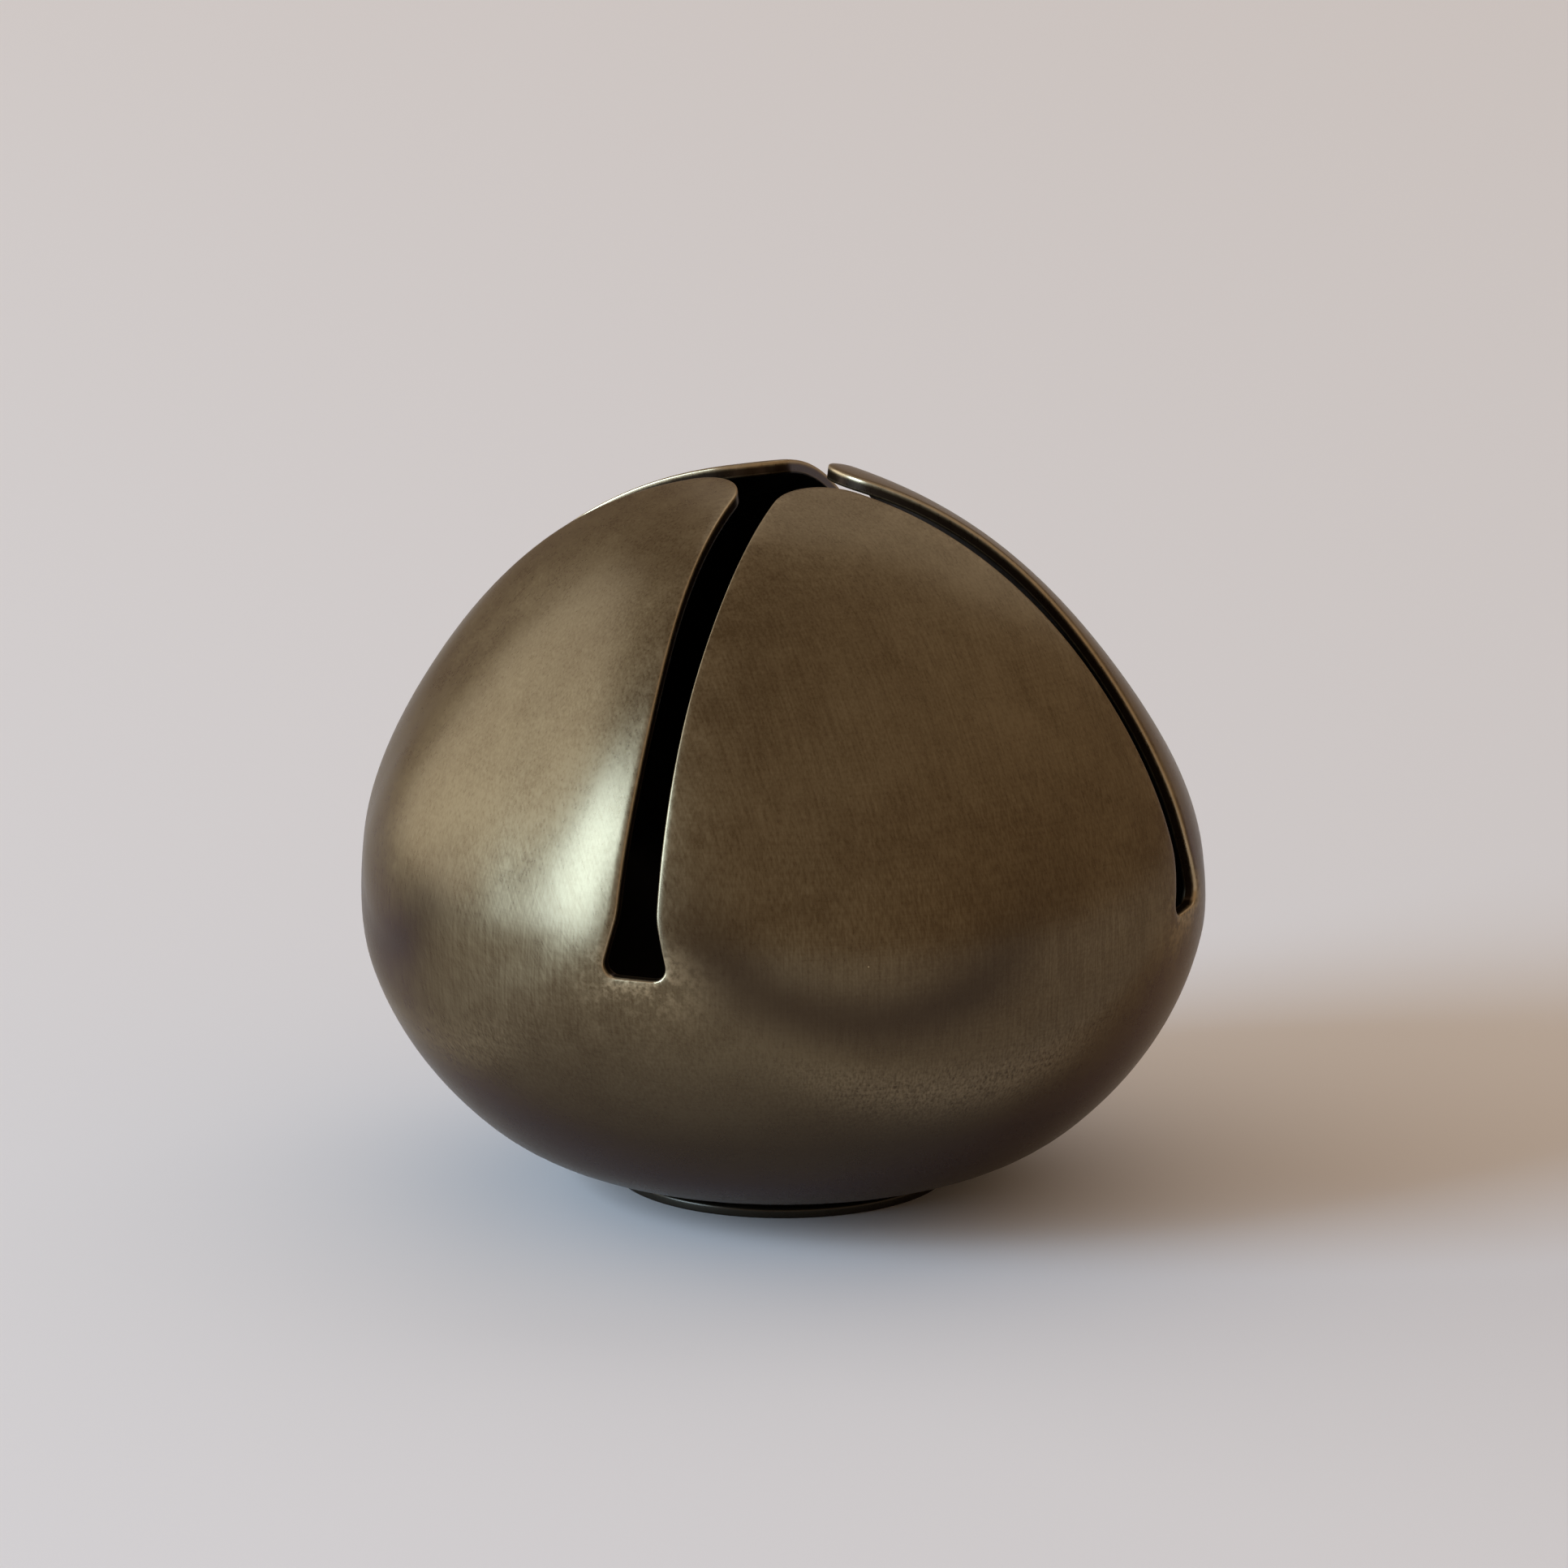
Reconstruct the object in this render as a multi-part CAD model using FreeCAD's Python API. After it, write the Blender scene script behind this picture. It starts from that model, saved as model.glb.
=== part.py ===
import FreeCAD
import Part
import math
import os

# Place card holder made from a round bell that stands with its slots upwards.
# All sizes are millimetres. Z = 0 is the table, the bell's axis is the Z axis,
# and the four slots point along +X, -X, +Y and -Y.

# ---- bell shell: one piece of drawn sheet -------------------------------
body_radius = 30.0        # outside radius at the belt, the widest level
sheet = 1.0               # thickness of the bell's sheet metal
floor_drop = 20.9         # belt down to the outside of the flat floor
bowl_oval = 24.7          # upright half-axis of the oval the lower bowl follows
dome_oval = 28.6          # upright half-axis of the oval the slots' edges follow
edge_pull = 0.05          # share by which those edges are bent inside that oval
floor_blend = 16.0        # outside radius that joins the bowl to its floor
last_latitude = 84.0      # degrees above the belt where the petals' skin stops
section_count = 12        # sections that carry the petals' skin

# ---- slots between the petals -------------------------------------------
slot_drop = 0.5           # belt down to the closed lower end of a slot
flare_half = 2.54         # half width of the flared end before its corners are rounded
flare_corner = 0.95       # radius of the two rounded corners of a flared end
neck_rise = 4.3           # slot end up to where the flare begins
neck_half = 1.45          # half width there
neck_ease = 6.0           # rounding between the flare and the slot's long side
waist_rise = 18.0         # slot end up to the narrowest place
waist_half = 1.22         # half width there
mouth_half = 1.5          # half width at the top, where the petals' tips begin
tip_radius = 4.5          # rounding of each petal's tip, seen from above
worn_edge = 0.2           # rounding of the outer edges of the slots and tips

# ---- dished foot ---------------------------------------------------------
foot_radius = 11.8        # outside radius of the foot's rim
foot_sheet = 0.7          # thickness of the foot's sheet
foot_rise = 0.9           # height of the raised middle above the rim
foot_flat = 7.5           # radius of the raised middle

# ---- rivet and its washer ------------------------------------------------
rivet_radius = 2.0        # shank
rivet_play = 0.05         # gap all round the shank in its three holes
rivet_head_radius = 4.0   # domed head inside the bell
rivet_head_height = 2.0   # height of that head
rivet_foot_radius = 3.6   # flat end closed under the foot
rivet_lift = 0.3          # table up to that flat end
washer_radius = 5.5       # outside radius of the washer under the head
washer_thickness = 0.8

# ---- loose pellet --------------------------------------------------------
pellet_radius = 5.0
pellet_orbit = 9.5        # bell axis to the pellet's centre
pellet_bearing = 135.0    # degrees from +X where it lies at rest
pellet_gap = 0.05         # between the pellet and the floor

# ---- derived levels ------------------------------------------------------
hole_radius = rivet_radius + rivet_play
foot_top = foot_rise + foot_sheet
belt_level = foot_top + floor_drop
floor_inside = foot_top + sheet
washer_top = floor_inside + washer_thickness
slot_end = belt_level - slot_drop
tip_reach = mouth_half + tip_radius
# the tips' rounding begins just below the inside of the sheet at that reach
mouth_level = belt_level - sheet / 2 + (dome_oval - sheet) * math.sqrt(
    1 - (tip_reach / (body_radius - sheet)) ** 2)
above_all = belt_level + dome_oval + sheet

AXIS = FreeCAD.Vector(0, 0, 1)
ORIGIN = FreeCAD.Vector(0, 0, 0)
TOUCH = 0.001             # two things closer than this count as touching


def revolved(wire_edges):
    """Turn a closed outline in the XZ plane into a solid round the Z axis."""
    face = Part.Face(Part.Wire(wire_edges))
    return face.revolve(ORIGIN, AXIS, 360)


def polygon_edges(points):
    """Straight edges through (radius, level) points, closed back to the first."""
    corners = [FreeCAD.Vector(radius, 0, level) for radius, level in points]
    closed = corners + corners[:1]
    return [Part.makeLine(a, b) for a, b in zip(closed, closed[1:])]


def bowl_solid(inset):
    """Solid lower bowl, its skin moved inwards by the inset."""
    radius = body_radius - inset
    oval = bowl_oval - inset
    floor_level = foot_top + inset
    drop = belt_level - floor_level
    floor_radius = radius * math.sqrt(1 - (drop / oval) ** 2)
    # a half oval, wider than it is high, cut from the floor's edge to the belt
    ellipse = Part.Ellipse(FreeCAD.Vector(radius, 0, belt_level),
                           FreeCAD.Vector(0, 0, belt_level - oval),
                           FreeCAD.Vector(0, 0, belt_level))
    floor_point = FreeCAD.Vector(floor_radius, 0, floor_level)
    belt_point = FreeCAD.Vector(radius, 0, belt_level)
    first = ellipse.parameter(belt_point)
    last = ellipse.parameter(floor_point)
    side = Part.Arc(ellipse, first, last).toShape()
    belt_centre = FreeCAD.Vector(0, 0, belt_level)
    floor_centre = FreeCAD.Vector(0, 0, floor_level)
    solid = revolved([side,
                      Part.makeLine(floor_point, floor_centre),
                      Part.makeLine(floor_centre, belt_centre),
                      Part.makeLine(belt_centre, belt_point)])
    floor_edges = [edge for edge in solid.Edges
                   if abs(edge.BoundBox.ZMax - floor_level) < 1e-6
                   and edge.BoundBox.XMax > floor_radius / 2]
    return solid.makeFillet(floor_blend - inset, floor_edges)


def petal_section(latitude, inset):
    """Level section of the closed petals: four arcs that meet at the slots.

    The corners follow an oval and are bent a little inside it. Across its
    width each petal keeps the radius of the drawn cup.
    """
    radius = body_radius - inset
    rise = math.sin(latitude)
    # zero at the belt and at the top, and one at two thirds of the height
    bend = 27 / 4 * rise ** 2 * (1 - rise)
    corner = radius * math.cos(latitude) * (1 - edge_pull * bend)
    level = belt_level + (dome_oval - inset) * rise
    chord_half = corner / math.sqrt(2)
    bulge = radius - math.sqrt(radius ** 2 - chord_half ** 2)
    middle = chord_half + bulge
    arcs = []
    for quarter in range(4):
        start = math.radians(90 * quarter)
        between = start + math.radians(45)
        stop = start + math.radians(90)
        points = [FreeCAD.Vector(corner * math.cos(start), corner * math.sin(start), level),
                  FreeCAD.Vector(middle * math.cos(between), middle * math.sin(between), level),
                  FreeCAD.Vector(corner * math.cos(stop), corner * math.sin(stop), level)]
        arcs.append(Part.Arc(*points).toShape())
    return Part.Wire(arcs)


def petal_solid(inset):
    """Solid dome under the petals' skin, moved inwards by the inset."""
    step = math.radians(last_latitude) / (section_count - 1)
    wires = [petal_section(step * index, inset) for index in range(section_count)]
    return Part.makeLoft(wires, True)


def slot_cutter():
    """Prism along X with the outline of one slot seen end on."""
    def at(half, rise):
        return FreeCAD.Vector(-body_radius - sheet, half, slot_end + rise)

    top = above_all - slot_end
    mouth_rise = mouth_level - slot_end
    # each side runs in to the waist and out again, and ends upright
    sides = []
    for hand in (1, -1):
        start = at(hand * neck_half, neck_rise)
        side = Part.BSplineCurve()
        side.interpolate(Points=[start,
                                 at(hand * waist_half, waist_rise),
                                 at(hand * mouth_half, mouth_rise)],
                         InitialTangent=at(hand * waist_half, waist_rise) - start,
                         FinalTangent=AXIS)
        sides.append(side.toShape())
    right_side, left_side = sides
    outline = Part.Wire([Part.makeLine(at(-flare_half, 0), at(flare_half, 0)),
                         Part.makeLine(at(flare_half, 0), at(neck_half, neck_rise)),
                         right_side,
                         Part.makeLine(at(mouth_half, mouth_rise), at(mouth_half, top)),
                         Part.makeLine(at(mouth_half, top), at(-mouth_half, top)),
                         Part.makeLine(at(-mouth_half, top), at(-mouth_half, mouth_rise)),
                         left_side,
                         Part.makeLine(at(-neck_half, neck_rise), at(-flare_half, 0))])
    prism = Part.Face(outline).extrude(FreeCAD.Vector(2 * (body_radius + sheet), 0, 0))
    # long edges of the prism at the slot's closed end and where the flare begins
    long_edges = [edge for edge in prism.Edges if edge.BoundBox.XLength > body_radius]
    corners = [edge for edge in long_edges if abs(edge.BoundBox.ZMax - slot_end) < TOUCH]
    necks = [edge for edge in long_edges
             if abs(edge.BoundBox.ZMax - slot_end - neck_rise) < TOUCH]
    return prism.makeFillet(flare_corner, corners).makeFillet(neck_ease, necks)


def tip_cutter():
    """Four-pointed opening in the middle that leaves each petal a round tip."""
    height = above_all - mouth_level
    opening = Part.makeBox(2 * tip_reach, 2 * tip_reach, height,
                           FreeCAD.Vector(-tip_reach, -tip_reach, mouth_level))
    rounds = [Part.makeCylinder(tip_radius, height, FreeCAD.Vector(x, y, mouth_level))
              for x in (-tip_reach, tip_reach) for y in (-tip_reach, tip_reach)]
    return opening.cut(Part.makeCompound(rounds))


def lies_on(edge, surfaces):
    """Whether an edge runs along one of the surfaces, tried at two points."""
    for share in (0.3, 0.6):
        point = edge.valueAt(edge.FirstParameter * (1 - share) + edge.LastParameter * share)
        vertex = Part.Vertex(point)
        if min(vertex.distToShape(surface)[0] for surface in surfaces) > TOUCH:
            return False
    return True


def bell_shell():
    """The bell: bowl and four petals in one sheet, slots and rivet hole cut."""
    outside = bowl_solid(0).fuse(petal_solid(0))
    inside = bowl_solid(sheet).fuse(petal_solid(sheet))
    along_x = slot_cutter()
    along_y = slot_cutter()
    along_y.rotate(ORIGIN, AXIS, 90)
    cutters = [along_x, along_y, tip_cutter()]
    hole = Part.makeCylinder(hole_radius, floor_inside)
    shell = outside.cut(inside).cut(cutters + [hole]).removeSplitter().Solids[0]
    # the outer edges of the slots and tips are worn round
    skin = outside.Shells
    cut_faces = [surface for cutter in cutters for surface in cutter.Shells]
    rims = [edge for edge in shell.Edges if lies_on(edge, skin) and lies_on(edge, cut_faces)]
    return shell.makeFillet(worn_edge, rims)


def foot_plate():
    """Round dished foot: it stands on its rim and its raised middle carries the bell."""
    return revolved(polygon_edges([(hole_radius, foot_rise),
                                   (foot_flat, foot_rise),
                                   (foot_radius - foot_sheet, 0),
                                   (foot_radius, 0),
                                   (foot_radius, foot_sheet),
                                   (foot_flat, foot_top),
                                   (hole_radius, foot_top)]))


def foot_rivet():
    """Solid rivet: domed head inside the bell, flat closed end under the foot."""
    shank = Part.makeCylinder(rivet_radius, washer_top - rivet_lift,
                              FreeCAD.Vector(0, 0, rivet_lift))
    closed_end = Part.makeCylinder(rivet_foot_radius, foot_rise - rivet_lift,
                                   FreeCAD.Vector(0, 0, rivet_lift))
    # the dome is the cap of a ball as wide as the head at its seat
    ball_radius = (rivet_head_radius ** 2 + rivet_head_height ** 2) / (2 * rivet_head_height)
    ball = Part.makeSphere(ball_radius,
                           FreeCAD.Vector(0, 0, washer_top + rivet_head_height - ball_radius))
    seat = Part.makeCylinder(rivet_head_radius, rivet_head_height,
                             FreeCAD.Vector(0, 0, washer_top))
    return shank.fuse([closed_end, ball.common(seat)]).removeSplitter()


def rivet_washer():
    """Flat washer that spreads the rivet's head over the bell's floor."""
    disc = Part.makeCylinder(washer_radius, washer_thickness, FreeCAD.Vector(0, 0, floor_inside))
    hole = Part.makeCylinder(hole_radius, washer_top)
    return disc.cut(hole)


def pellet():
    """Loose steel ball that lies on the bell's floor beside the rivet."""
    bearing = math.radians(pellet_bearing)
    centre = FreeCAD.Vector(pellet_orbit * math.cos(bearing),
                            pellet_orbit * math.sin(bearing),
                            floor_inside + pellet_gap + pellet_radius)
    return Part.makeSphere(pellet_radius, centre)


nodes = {
    "bell_shell": bell_shell(),
    "foot_plate": foot_plate(),
    "foot_rivet": foot_rivet(),
    "rivet_washer": rivet_washer(),
    "pellet": pellet(),
}

os.makedirs("parts", exist_ok=True)
for name, shape in nodes.items():
    shape.exportStep("parts/" + name + ".step")
    box = shape.BoundBox
    print(name, shape.ShapeType, len(shape.Solids), shape.isValid(), round(shape.Volume, 2),
          [round(v, 3) for v in (box.XMin, box.XMax, box.YMin, box.YMax, box.ZMin, box.ZMax)])
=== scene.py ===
# %% [markdown]
# # A place card holder made from a round bell
#
# The real object is one large bell of dark aged brass that stands with its slots upwards
# on a thin round foot. A rivet and a washer hold the foot, and a loose steel ball rolls inside.
# This lesson dresses the measured solids of those five pieces with finer shapes and finishes.
# The solids come in first, because every later piece is measured from them.

# %% Load the measured solids
import math

import bmesh
import bpy
import numpy as np
from mathutils import Matrix, Vector


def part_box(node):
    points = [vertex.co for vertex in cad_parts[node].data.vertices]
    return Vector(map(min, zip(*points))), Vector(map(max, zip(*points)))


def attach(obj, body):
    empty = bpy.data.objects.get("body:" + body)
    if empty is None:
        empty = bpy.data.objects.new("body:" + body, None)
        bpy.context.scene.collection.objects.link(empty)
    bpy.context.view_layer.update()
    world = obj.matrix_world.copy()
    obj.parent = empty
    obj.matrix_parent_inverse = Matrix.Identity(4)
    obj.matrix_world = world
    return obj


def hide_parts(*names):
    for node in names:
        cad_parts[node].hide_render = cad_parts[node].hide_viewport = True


MM = 0.001


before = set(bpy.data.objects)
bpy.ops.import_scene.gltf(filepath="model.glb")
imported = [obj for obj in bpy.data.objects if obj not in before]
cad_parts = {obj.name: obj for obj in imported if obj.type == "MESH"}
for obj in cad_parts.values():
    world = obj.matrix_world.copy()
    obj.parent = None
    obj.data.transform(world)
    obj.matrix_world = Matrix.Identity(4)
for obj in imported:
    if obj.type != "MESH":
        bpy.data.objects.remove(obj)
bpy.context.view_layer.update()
print("solids:", sorted(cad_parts))

# %% [markdown]
# ## The camera
#
# The photograph was taken from far away with a long lens, a little right of the front slot and
# about 15 degrees above the floor. The numbers were found by fitting the outline of the solids
# to the outline in the photograph. A shifted lens could also bring the bell to its place in
# the picture. The camera is aimed instead, so that it works from every other side too.

# %% Place the camera
BELT_LEVEL = 22.5
AZIMUTH = math.radians(19.8)
ELEVATION = math.radians(15.51)
ROLL = math.radians(0.12)
DISTANCE = 900.0
PIXELS_PER_MM = 17.533
FRAME_PIXELS = 1932
SENSOR = 36.0
CLIP_NEAR, CLIP_FAR = 0.05, 20
BELT_RIGHT_OF_MIDDLE = -2.1 / PIXELS_PER_MM
BELT_ABOVE_MIDDLE = -97.6 / PIXELS_PER_MM

back = Vector((math.sin(AZIMUTH) * math.cos(ELEVATION),
               -math.cos(AZIMUTH) * math.cos(ELEVATION),
               math.sin(ELEVATION)))
level_right = Vector((math.cos(AZIMUTH), math.sin(AZIMUTH), 0))
level_up = back.cross(level_right)
right = level_right * math.cos(ROLL) + level_up * math.sin(ROLL)
up = level_up * math.cos(ROLL) - level_right * math.sin(ROLL)
belt_centre = Vector((0, 0, BELT_LEVEL))
place = belt_centre + back * DISTANCE
aim = belt_centre - right * BELT_RIGHT_OF_MIDDLE - up * BELT_ABOVE_MIDDLE
towards = (aim - place).normalized()
side = towards.cross(up).normalized()
lens = bpy.data.cameras.new("long_lens")
lens.sensor_width = SENSOR
lens.lens = PIXELS_PER_MM * DISTANCE * SENSOR / FRAME_PIXELS
lens.clip_start, lens.clip_end = CLIP_NEAR, CLIP_FAR
camera = bpy.data.objects.new("camera", lens)
turned_to = Matrix((side, side.cross(towards), -towards)).transposed().to_4x4()
camera.matrix_world = Matrix.Translation(place * MM) @ turned_to
bpy.context.scene.collection.objects.link(camera)
bpy.context.scene.camera = camera
print("lens in mm:", round(lens.lens, 1))

# %% [markdown]
# ## Arithmetic that also runs inside node trees
#
# The bell follows a rule, so a node tree can press it out of a flat blank. A formula made of
# loose Math nodes is hard to read. `Flow` is a number on its way through a tree: plus, minus
# and the rest add the Math nodes for it. The same formula then also takes plain numbers, and
# the lesson uses that to measure where the slots meet the sheet.

# %% Let formulas build their own nodes
class Flow:
    """A number that flows through a node tree."""

    def __init__(self, tree, socket):
        self.tree = tree
        self.socket = socket

    def through(self, operation, *values):
        maths = self.tree.nodes.new("ShaderNodeMath")
        maths.operation = operation
        for place, value in enumerate(values):
            if isinstance(value, Flow):
                self.tree.links.new(value.socket, maths.inputs[place])
            else:
                maths.inputs[place].default_value = value
        return Flow(self.tree, maths.outputs[0])

    def __add__(self, other):
        return self.through("ADD", self, other)

    def __sub__(self, other):
        return self.through("SUBTRACT", self, other)

    def __rsub__(self, other):
        return self.through("SUBTRACT", other, self)

    def __mul__(self, other):
        return self.through("MULTIPLY", self, other)

    def __truediv__(self, other):
        return self.through("DIVIDE", self, other)

    def __neg__(self):
        return self * -1.0

    __radd__ = __add__
    __rmul__ = __mul__


print("every sign of a flow goes by way of:", Flow.through.__name__)

# %% [markdown]
# ## Functions for numbers and flows
#
# Sines, roots and limits have no sign of their own as plus and minus have, so they need
# functions. Each looks at what it was given: a flow gets a Math node, and a plain number or
# an array goes to numpy. Two sets of functions would drift apart in time.

# %% Write functions that take both
def either(operation, plain):
    """A function that works on plain numbers and on flows."""
    def work(*values):
        flows = [value for value in values if isinstance(value, Flow)]
        return flows[0].through(operation, *values) if flows else plain(*values)
    return work


sine = either("SINE", np.sin)
cosine = either("COSINE", np.cos)
root = either("SQRT", np.sqrt)
smaller = either("MINIMUM", np.minimum)
larger = either("MAXIMUM", np.maximum)
exceeds = either("GREATER_THAN", lambda first, second: np.where(first > second, 1.0, 0.0))
power = either("POWER", np.power)
print("the larger of 1 and 2, as plain numbers:", larger(1, 2))

# %% [markdown]
# ## The bell's sizes
#
# A bell like this starts as a round sheet that is drawn to a cup. Below the belt, its widest
# level, the profile is an oval, and a blend takes it round to a flat floor. The sizes were
# read from the photograph. Only one value can't be read: where the oval has to stop for the
# blend to touch it without a crease. It is found by halving, which is slow but never misses.

# %% Write the bell's sizes down
BELL = {"Belt radius": 30.0, "Belt level": BELT_LEVEL, "Dome oval": 28.6, "Bowl oval": 24.7,
        "Edge pull": 0.05, "Floor level": 1.6, "Floor blend": 16.0}
SHEET = 1.0
QUARTER = math.pi / 2
BLEND_HALVINGS = 60


def blend_start():
    """Latitude where the bowl's oval meets the blend, the blend's centre and its first angle."""
    radius, oval, blend = BELL["Belt radius"], BELL["Bowl oval"], BELL["Floor blend"]
    centre_level = BELL["Floor level"] + blend
    low, high = -QUARTER, 0.0
    for _ in range(BLEND_HALVINGS):
        latitude = (low + high) / 2
        lean = math.atan2(math.sin(latitude) / oval, math.cos(latitude) / radius)
        level = BELL["Belt level"] + oval * math.sin(latitude) - blend * math.sin(lean)
        if level > centre_level:
            high = latitude
        else:
            low = latitude
    return latitude, radius * math.cos(latitude) - blend * math.cos(lean), lean


BLEND_LATITUDE, BELL["Blend centre"], BELL["Blend angle"] = blend_start()
BELL["Blend place"] = BLEND_LATITUDE * BELL["Belt radius"]
print("the floor's blend starts at latitude", round(math.degrees(BLEND_LATITUDE), 1))

# %% [markdown]
# ## The rule that presses the sheet
#
# The cup's rim is cut into four petals, and these are bent inwards. They keep the curve of the
# cup across their width, while their edges lean in along another oval. The shape could be
# pulled by hand out of a ball, but a rule keeps all four petals alike and can be measured.
# `pressed` says where a point of the blank goes. A blank point has a place round the bell,
# a place up the sheet and a depth into it, all in millimetres.

# %% Write the pressing rule
BEND_TO_ONE = 27 / 4


def pressed(around, along, depth, bell):
    """Reach from the axis, angle round it and level of a point of the blank."""
    angle = around / bell["Belt radius"]
    latitude = larger(along, bell["Blend place"]) / bell["Belt radius"]
    radius = bell["Belt radius"] - depth
    above, below = larger(latitude, 0.0), smaller(latitude, 0.0)
    rise = sine(above)
    bend = rise * rise * (1.0 - rise) * BEND_TO_ONE
    # a petal's edge stands a quarter turn from the next, so half its chord is radius / sqrt(2)
    half_chord = radius * cosine(above) * (1.0 - bend * bell["Edge pull"]) * math.sqrt(0.5)
    hollow = half_chord - root(radius * radius - half_chord * half_chord)
    off_middle = angle - QUARTER / 2
    sway = hollow * sine(off_middle)
    reach = (hollow * cosine(off_middle) + root(radius * radius - sway * sway)) * cosine(below)
    level = (bell["Belt level"] + (bell["Dome oval"] - depth) * rise
             + (bell["Bowl oval"] - depth) * sine(below))
    # past the oval the sheet runs round the blend and then flat to the hole
    run = larger(bell["Blend place"] - along, 0.0)
    swing = larger(bell["Blend angle"] - run / bell["Floor blend"], -QUARTER)
    flat = larger(run - (bell["Blend angle"] + QUARTER) * bell["Floor blend"], 0.0)
    blend = bell["Floor blend"] - depth
    on_floor = exceeds(run, 0.0)
    reach = reach + on_floor * (bell["Blend centre"] + blend * cosine(swing) - flat - reach)
    level = level + on_floor * (bell["Floor level"] + bell["Floor blend"]
                                + blend * sine(swing) - level)
    return reach, angle, level


belt_point = pressed(0.0, 0.0, 0.0, BELL)
print("reach, angle and level at the belt:", [round(float(value), 2) for value in belt_point])

# %% [markdown]
# ## The slot's outline
#
# Each slot has a flared end with round corners, runs in to a waist and opens again to the
# mouth between the tips. It could be cut out of the finished bell with a boolean, but that
# leaves ragged faces along the edge. Here the slot's half width is a formula of the level,
# and the mesh will start exactly at that line. The pieces of the formula share their slopes
# where they meet, so that the edge has no kinks.

# %% Describe the slot's outline
SLOT_END = 22.0
FLARE_HALF, FLARE_CORNER = 2.54, 0.95
NECK_RISE, NECK_HALF, NECK_EASE = 4.3, 1.45, 0.7
WAIST_RISE, WAIST_HALF = 18.0, 1.22
MOUTH_HALF, TIP_RADIUS = 1.5, 4.5
TIP_REACH = MOUTH_HALF + TIP_RADIUS
MOUTH_LEVEL = (BELL["Belt level"] - SHEET / 2 + (BELL["Dome oval"] - SHEET)
               * math.sqrt(1 - (TIP_REACH / (BELL["Belt radius"] - SHEET)) ** 2))
FLARE_SLOPE = (FLARE_HALF - NECK_HALF) / NECK_RISE
CORNER_ANGLE = math.atan2(1, FLARE_SLOPE)
CORNER_RUN = FLARE_CORNER / math.tan(CORNER_ANGLE / 2)
CORNER_TOP = CORNER_RUN * math.sin(CORNER_ANGLE)


def eased(rise, start, stop, first, last, first_slope, last_slope):
    """Smooth curve between two places with the given slopes at its ends."""
    span = stop - start
    share = np.clip((rise - start) / span, 0, 1)
    square, cube = share ** 2, share ** 3
    return ((2 * cube - 3 * square + 1) * first + (3 * square - 2 * cube) * last
            + (cube - 2 * square + share) * span * first_slope
            + (cube - square) * span * last_slope)


def slot_half_width(level):
    """Half the slot's width at a level, from its closed end to its mouth."""
    rise = level - SLOT_END
    corner = FLARE_HALF - CORNER_RUN + np.sqrt(np.maximum(
        FLARE_CORNER ** 2 - (rise - FLARE_CORNER) ** 2, 0))
    flare = FLARE_HALF - rise * FLARE_SLOPE
    neck_slope = (WAIST_HALF - NECK_HALF) / (WAIST_RISE - NECK_RISE)
    mouth_rise = MOUTH_LEVEL - SLOT_END
    lower_span, upper_span = WAIST_RISE - NECK_RISE, mouth_rise - WAIST_RISE
    waist_slope = ((3 * (WAIST_HALF - NECK_HALF) / lower_span ** 2
                    + 3 * (MOUTH_HALF - WAIST_HALF) / upper_span ** 2 - neck_slope / lower_span)
                   / (2 / lower_span + 2 / upper_span))
    lower = eased(rise, NECK_RISE, WAIST_RISE, NECK_HALF, WAIST_HALF, neck_slope, waist_slope)
    upper = eased(rise, WAIST_RISE, mouth_rise, WAIST_HALF, MOUTH_HALF, waist_slope, 0.0)
    # an even bend joins the flare's slope to the slope of the long side
    past = rise - NECK_RISE
    bend = (NECK_HALF + (neck_slope - FLARE_SLOPE) / 2 * past
            + (neck_slope + FLARE_SLOPE) / (4 * NECK_EASE) * (past ** 2 + NECK_EASE ** 2))
    return np.select([rise <= CORNER_TOP, past <= -NECK_EASE, past <= NECK_EASE,
                      rise <= WAIST_RISE], [corner, flare, bend, lower], upper)


print("slot width at the waist:", 2 * float(slot_half_width(SLOT_END + WAIST_RISE)))

# %% [markdown]
# ## The slot on the sheet
#
# The outline is given by level and width, as a caliper would read it, but the blank is laid
# out by place up the sheet and by angle. The rule can't be turned round into a formula, so
# two short searches do it: one repeats a guess until it settles, the other halves a span.

# %% Find the slot on the sheet
EDGE_GUESSES = 8
SLOT_END_SPAN, MOUTH_SPAN = (-5, 0), (0, 42)


def edge_angle(along):
    """Angle from the slot's middle to its edge, on the bell's outside."""
    level = pressed(0.0, along, 0.0, BELL)[2]
    half = slot_half_width(level)
    angle = half / BELL["Belt radius"]
    for _ in range(EDGE_GUESSES):
        angle = np.arcsin(half / pressed(angle * BELL["Belt radius"], along, 0.0, BELL)[0])
    return angle


def solved(test, low, high, halvings=50):
    """Where a rising test passes zero between two places, by halving."""
    low, high = np.array(low, float), np.array(high, float)
    for _ in range(halvings):
        middle = (low + high) / 2
        past = test(middle) > 0
        high = np.where(past, middle, high)
        low = np.where(past, low, middle)
    return (low + high) / 2


def place_at(wanted, span):
    """Place up the sheet that lies at a wanted level."""
    return float(solved(lambda along: pressed(0.0, along, 0.0, BELL)[2] - wanted, *span))


end_place = place_at(SLOT_END, SLOT_END_SPAN)
mouth_place = place_at(MOUTH_LEVEL, MOUTH_SPAN)
print("slot from", round(end_place, 2), "to", round(mouth_place, 2), "mm up the sheet")

# %% [markdown]
# ## Columns across a petal
#
# One quarter of the blank is enough: from the middle of one slot to the middle of the next.
# Its columns start at the slot's edge and follow it, so that the edge is a clean line of the
# mesh. An even grid would need far too many faces to show the edge, where the sheet rolls
# over within a millimetre. So the columns crowd together there and spread out in the middle.

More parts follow.
